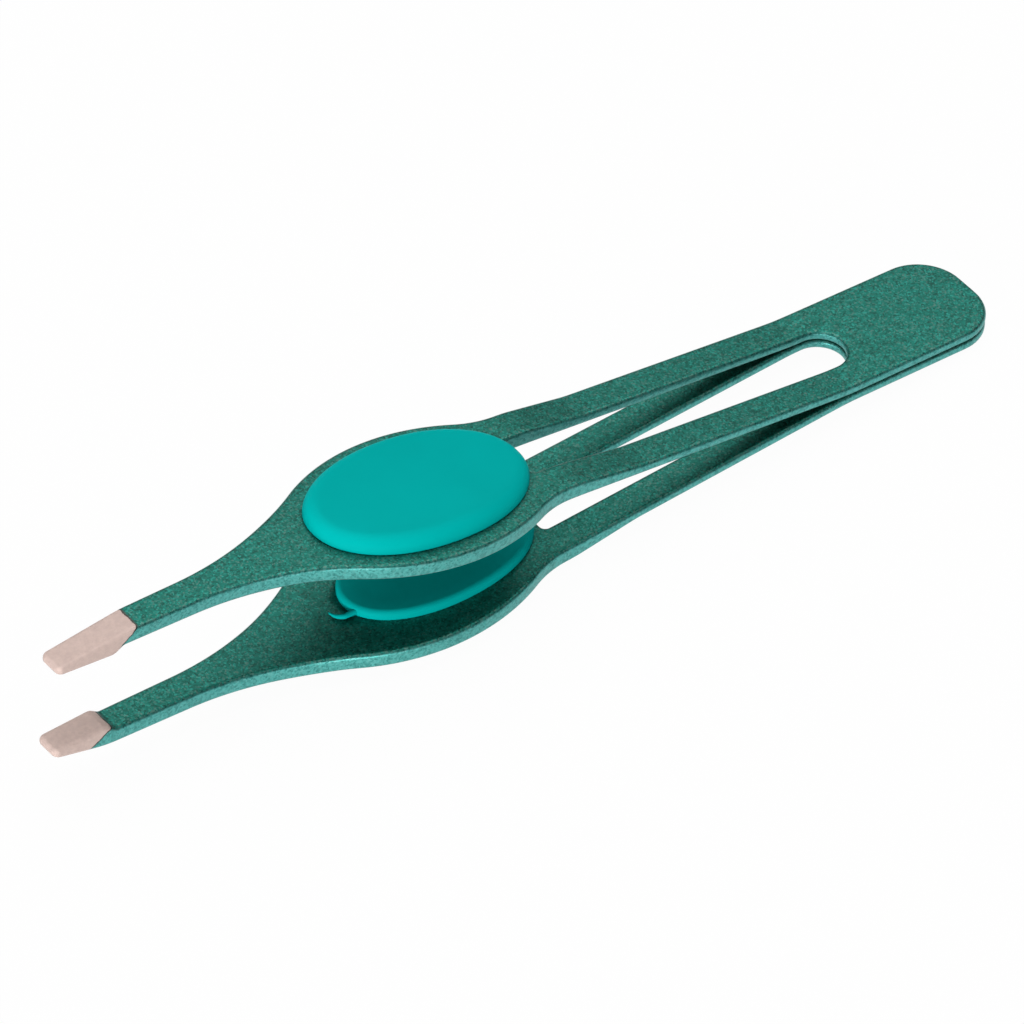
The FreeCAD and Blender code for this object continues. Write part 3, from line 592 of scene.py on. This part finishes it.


# Flaked coat, with painted light that makes the cut walls paler, that ends in a thin dark line at the ground,
# bare jaw
def coatedSteel():
    material, tree, shader = newMaterial("coatedSteel")
    place = addNode(tree, "ShaderNodeTexCoord").outputs["Object"]
    flakes = addNode(tree, "ShaderNodeTexVoronoi", Vector=place, Scale=float(coat["grain"])).outputs["Color"]
    flake = addNode(tree, "ShaderNodeSeparateColor", n0=flakes).outputs
    mottle = noise(tree, coat["grain"] / 3, 3.0, 0.6)
    edge = addNode(tree, "ShaderNodeAttribute", {"attribute_name": "edge"}).outputs["Fac"]
    bare = addNode(tree, "ShaderNodeAttribute", {"attribute_name": "bare"}).outputs["Fac"]
    cloudy = calc(tree, "MULTIPLY_ADD", mottle, 0.8, calc(tree, "MULTIPLY", flake[0], 0.6))
    base = blend(tree, ramp(tree, cloudy, 0.4, 0.85), coat["dark"], coat["teal"])
    base = blend(tree, ramp(tree, flake[1], 0.7, 1.0), base, coat["bright"])
    fleckAndSheenAt = calc(tree, "ADD", flake[2], calc(tree, "MULTIPLY", mottle, 0.5))
    # Painted sheen: more grey flecks along the rounded edges where the rims glance; the flecks elsewhere are
    # the coat's own
    fleckAndSheenAt = calc(tree, "MULTIPLY_ADD", edge, 0.3, fleckAndSheenAt)
    base = blend(tree, ramp(tree, fleckAndSheenAt, 1.0, 1.3), base, coat["fleck"])
    # Painted light: the steeper a face, the more it takes the paler wall colour
    facing = addNode(tree, "ShaderNodeSeparateXYZ", n0=addNode(tree, "ShaderNodeTexCoord").outputs["Normal"])
    flat = ramp(tree, calc(tree, "ABSOLUTE", facing.outputs[2]), 0.4, 0.93)
    wall = calc(tree, "MULTIPLY_ADD", flat, -coat["wallShare"], coat["wallShare"])
    wallCoat = blend(tree, ramp(tree, cloudy, 0.45, 0.85), coat["wallDeep"], coat["wall"])
    base = blend(tree, wall, base, wallCoat)
    wander = calc(tree, "MULTIPLY", calc(tree, "SUBTRACT", mottle, 0.5), 0.3 * mm)
    past = calc(tree, "ADD", bare, wander)
    nearEnd = ramp(tree, calc(tree, "ADD", past, coat["line"] * mm), 0.0, coat["line"] * 0.6 * mm)
    base = blend(tree, nearEnd, base, coat["end"])
    ground = ramp(tree, past, 0.0, 0.05 * mm)
    metal = blend(tree, ramp(tree, mottle, 0.35, 0.65), steel["shade"], steel["light"])
    tree.links.new(blend(tree, ground, base, metal), shader.inputs["Base Color"])
    metallic = calc(tree, "MULTIPLY_ADD", ground, steel["metallic"] - coat["metallic"], coat["metallic"])
    tree.links.new(metallic, shader.inputs["Metallic"])
    grainRough = calc(tree, "MULTIPLY_ADD", flake[0], 0.15, coat["roughness"] - 0.07)
    rough = calc(tree, "MULTIPLY_ADD", ground, steel["roughness"] - coat["roughness"], grainRough)
    tree.links.new(rough, shader.inputs["Roughness"])
    clear = calc(tree, "MULTIPLY_ADD", ground, -coat["clear"], coat["clear"])
    tree.links.new(clear, shader.inputs["Coat Weight"])
    shader.inputs["Coat Roughness"].default_value = coat["clearRough"]
    bump = addNode(tree, "ShaderNodeBump", Strength=0.15, Distance=0.02 * mm, Height=flake[1])
    tree.links.new(bump.outputs[0], shader.inputs["Normal"])
    return material


def softGrip():
    material, tree, shader = newMaterial("softGrip")
    cloud = noise(tree, silicone["cloudScale"], 3.0, 0.55)
    skin = noise(tree, silicone["skinScale"], 2.0, 0.6)
    tree.links.new(blend(tree, ramp(tree, cloud, 0.35, 0.65), silicone["deep"], silicone["colour"]),
                   shader.inputs["Base Color"])
    tree.links.new(calc(tree, "MULTIPLY_ADD", skin, 0.15, silicone["roughness"] - 0.07),
                   shader.inputs["Roughness"])
    shader.inputs["Specular IOR Level"].default_value = silicone["specular"]
    bump = addNode(tree, "ShaderNodeBump", Strength=0.12, Distance=0.015 * mm, Height=skin)
    tree.links.new(bump.outputs[0], shader.inputs["Normal"])
    return material


materials = {"steel": coatedSteel(), "grip": softGrip()}
print("finishes made")


# Places a finished mesh in the model, as a piece that stands for a node of the frame
def addPiece(name, mesh, matrix, node):
    mesh.transform(matrix)
    mesh.name = name
    piece = bpy.data.objects.new(name, mesh)
    bpy.context.scene.collection.objects.link(piece)
    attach(piece, "root")
    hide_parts(node)
    return piece


# Both arms go through one press: their blanks differ at the slot's end, their side views at the jaw
def makeArms(s):
    tree = pressTree()
    for side in ("upper", "lower"):
        blank = makeBlank(s, side)
        inner, outer = [cornerCurve(side + name, [((x, 0, z), rounding) for x, z, rounding in points])
                        for name, points in zip(("Inner", "Outer"), corners[side])]
        outside, inside = s["bareFrom"][side]
        mesh = runTree(blank, tree, {
            "Inner profile": inner, "Outer profile": outer, "Reach": s["ovalWidth"] * mm,
            "Arc points": s["arcPoints"], "Bare outside": outside * mm, "Bare inside": inside * mm,
            "Finish": materials["steel"]})
        addPiece(side + "Stamping", mesh, lieDown @ turnOver[side], side + "_arm")
        print(f"{side} arm pressed, {len(mesh.polygons)} faces")
        for helper in (blank, inner, outer):
            bpy.data.objects.remove(helper)


# A tapering tube along the whisker's middle line, closed at both ends
def addTail(work, t):
    knots = [Vector(point) * mm for point in t["line"]]
    spans = len(knots) - 1

    def along(values, at):
        i = min(int(at * spans), spans - 1)
        before, start, end, after = [values[max(0, min(spans, k))] for k in (i - 1, i, i + 1, i + 2)]
        u = at * spans - i
        return (start * 2 + (end - before) * u + (before * 2 - start * 5 + end * 4 - after) * u ** 2
                + (start * 3 - before - end * 3 + after) * u ** 3) / 2

    rings = []
    for step in range(t["steps"] + 1):
        at = step / t["steps"]
        middle = along(knots, at)
        ahead = (along(knots, min(1, at + 0.01)) - along(knots, max(0, at - 0.01))).normalized()
        aside = Vector((0, 0, 1)).cross(ahead).normalized()
        upwards = ahead.cross(aside)
        half = along(t["thick"], at) * mm / 2
        rings.append([work.verts.new(middle + aside * half * math.cos(a) + upwards * half * math.sin(a))
                      for a in [math.tau * k / t["around"] for k in range(t["around"])]])
    for ring, nextRing in zip(rings, rings[1:]):
        for k in range(t["around"]):
            j = (k + 1) % t["around"]
            work.faces.new((ring[k], ring[j], nextRing[j], nextRing[k]))
    work.faces.new(list(reversed(rings[0])))
    work.faces.new(rings[-1])


# One mould for both grips; the lower one keeps its whisker
def makeGrips(s):
    seed = bpy.data.objects.new("gripSeed", bpy.data.meshes.new("gripSeed"))
    bpy.context.scene.collection.objects.link(seed)
    tree = mouldTree()
    for side in ("upper", "lower"):
        section = cornerCurve(side + "Section", gripSection(s, stamping["ovalThick"], side))
        mesh = runTree(seed, tree, {
            "Section": section, "Arc points": s["arcPoints"], "Around": s["around"],
            "Crown radius": s["crownRadius"] * mm, "Oval power": s["ovalPower"],
            "Seat": stamping["ovalThick"] * mm, "Cap height": s["capHeight"][side] * mm,
            "Finish": materials["grip"]})
        work = bmesh.new()
        work.from_mesh(mesh)
        if side == "lower":
            addTail(work, tail)
        bmesh.ops.recalc_face_normals(work, faces=work.faces)
        for face in work.faces:
            face.smooth = True
        work.to_mesh(mesh)
        work.free()
        addPiece(side + "Pad", mesh, lieDown @ turnOver[side] @ inHole, side + "_grip")
        print(f"{side} grip moulded, {len(mesh.polygons)} faces")
        bpy.data.objects.remove(section)
    bpy.data.objects.remove(seed)


makeArms(stamping)
makeGrips(grip)

studio = {
    "floorSize": 6, "floorColour": (0.7, 0.7, 0.7, 1), "floorWhite": 0.97, "world": 0.05,
    "floorDrop": 0.02,        # how far the floor lies below the part, in mm
}


# Pale floor that keeps a faint shadow, and a plain grey room
def makeStudio(s):
    bpy.ops.mesh.primitive_plane_add(size=s["floorSize"], location=(0, 0, -s["floorDrop"] * mm))
    floor = bpy.context.object
    floor.name = "floor"
    material = bpy.data.materials.new("floorWhite")
    material.use_nodes = True
    tree = material.node_tree
    tree.nodes.clear()
    rays = addNode(tree, "ShaderNodeLightPath").outputs
    once = calc(tree, "LESS_THAN", rays["Glossy Depth"], 1.5)        # only a first reflection sees the white
    seen = calc(tree, "MAXIMUM", rays["Is Camera Ray"],
                calc(tree, "MAXIMUM", calc(tree, "MULTIPLY", rays["Is Glossy Ray"], once),
                     rays["Is Transmission Ray"]))
    matt = addNode(tree, "ShaderNodeBsdfDiffuse", Color=s["floorColour"]).outputs[0]
    white = addNode(tree, "ShaderNodeEmission", Strength=1.0).outputs[0]
    mixed = addNode(tree, "ShaderNodeMixShader", n0=calc(tree, "MULTIPLY", seen, s["floorWhite"]),
                    n1=matt, n2=white)
    out = tree.nodes.new("ShaderNodeOutputMaterial")
    tree.links.new(mixed.outputs[0], out.inputs[0])
    floor.data.materials.append(material)
    world = bpy.data.worlds.new("room")
    world.use_nodes = True
    world.node_tree.nodes["Background"].inputs[0].default_value = (1, 1, 1, 1)
    world.node_tree.nodes["Background"].inputs[1].default_value = s["world"]
    bpy.context.scene.world = world


lamps = [
    {"name": "back", "azimuth": 140, "elevation": 64, "distance": 1.2, "size": (1.7, 1.7), "power": 18},
    {"name": "top", "azimuth": -60, "elevation": 82, "distance": 1.0, "size": (0.7, 0.7), "power": 2.7},
    {"name": "front", "azimuth": -50, "elevation": 7, "distance": 0.9, "size": (1.1, 0.17), "power": 10},
    {"name": "left", "azimuth": -100, "elevation": 14, "distance": 0.9, "size": (0.4, 0.3), "power": 1.9},
]
# Where it stands around a level arm, so that it keeps to the tweezers
camera = {
    "aim": (49.5166, 1.2386, -0.3117), "azimuth": 140.2968, "elevation": 40.7924, "roll": 4.1325,
    "distance": 998.99, "lens": 422.16,
}


def directionTo(azimuth, elevation):
    a, e = math.radians(azimuth), math.radians(elevation)
    return Vector((math.sin(a) * math.cos(e), -math.cos(a) * math.cos(e), math.sin(e)))


def makeLights():
    for lamp in lamps:
        light = bpy.data.lights.new(lamp["name"], "AREA")
        light.shape = "RECTANGLE"
        light.size, light.size_y = lamp["size"]
        light.energy = lamp["power"]
        obj = bpy.data.objects.new(lamp["name"], light)
        way = directionTo(lamp["azimuth"], lamp["elevation"])
        facing = way.to_track_quat("Z", "Y").to_matrix().to_4x4()
        obj.matrix_world = Matrix.Translation(way * lamp["distance"]) @ facing
        bpy.context.scene.collection.objects.link(obj)


# The camera stands where the photograph's outlines put it
def makeCamera(s):
    data = bpy.data.cameras.new("camera")
    data.sensor_width = 36
    data.lens = s["lens"]
    data.clip_start = 0.01
    obj = bpy.data.objects.new("camera", data)
    way = directionTo(s["azimuth"], s["elevation"])
    right = Vector((0, 0, 1)).cross(way).normalized()
    level = Matrix((right, way.cross(right), way)).transposed().to_4x4()
    place = Matrix.Translation(Vector(s["aim"]) * mm + way * s["distance"] * mm)
    obj.matrix_world = lieDown @ place @ level @ Matrix.Rotation(math.radians(s["roll"]), 4, "Z")
    bpy.context.scene.collection.objects.link(obj)
    bpy.context.scene.camera = obj


makeStudio(studio)
makeLights()
makeCamera(camera)
bpy.context.scene.view_settings.view_transform = "Standard"
print("studio set")
